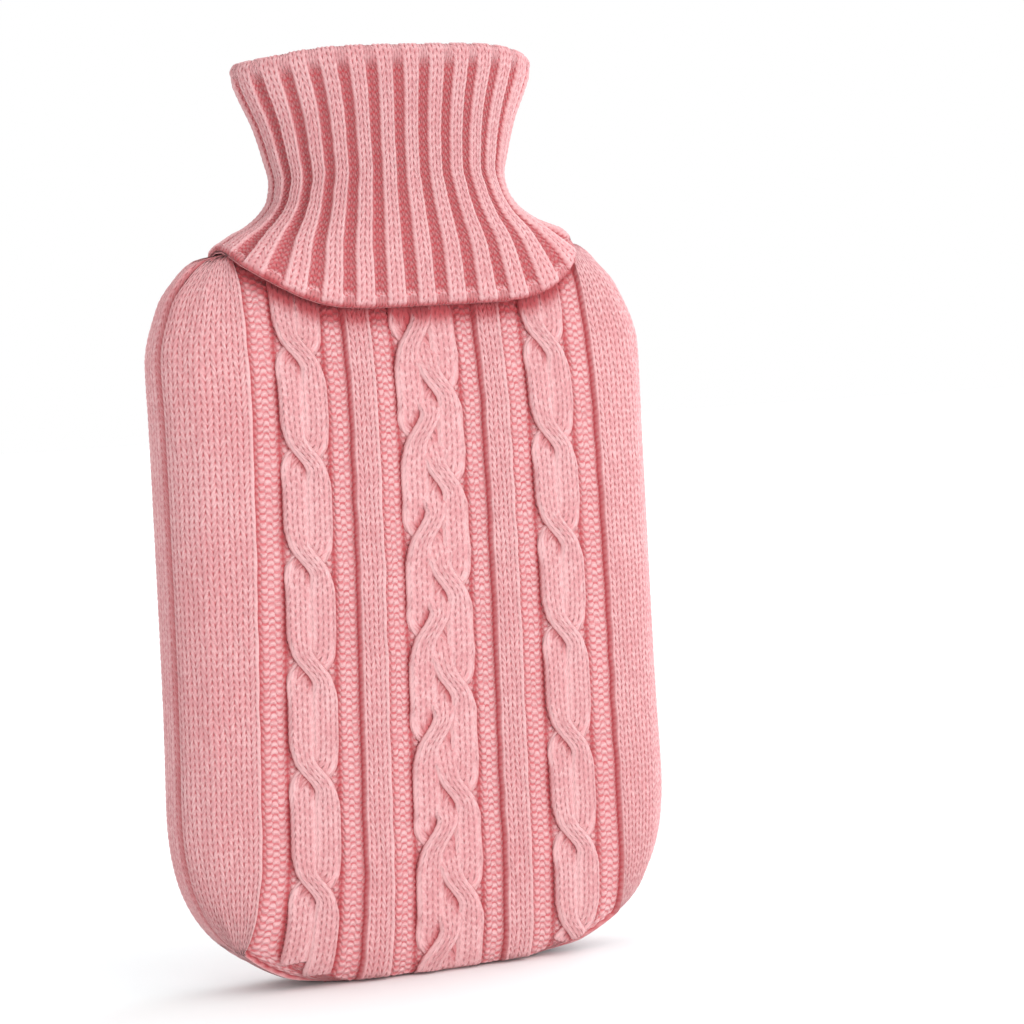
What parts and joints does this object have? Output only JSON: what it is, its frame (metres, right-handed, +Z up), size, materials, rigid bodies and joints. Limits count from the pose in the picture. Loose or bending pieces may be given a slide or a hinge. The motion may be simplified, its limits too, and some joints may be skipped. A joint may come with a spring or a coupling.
{
  "type": "hot water bottle cover",
  "caption": "Knitted cover for a hot water bottle, with raised cables on the front, an open neck and a ribbed turn-down collar.",
  "frame": {"origin": "middle of the sole, on the surface that the cover stands on", "axes": "+Z up through the neck, +X to the right as seen from the front, +Y from the cabled front to the back"},
  "size_m": [0.2062, 0.063, 0.3576],
  "materials": {
    "knit_front": "matt heathered pink wool knit: plain bands, purl ground, raised ribs, rope cables and a plait",
    "knit_back": "matt heathered pink wool, plain stocking stitch",
    "knit_collar": "matt heathered pink wool, wide ribs with deep purl grooves"
  },
  "bodies": {
    "root": {"front_panel": "knit_front", "back_panel": "knit_back", "collar": "knit_collar"}
  },
  "joints": []
}
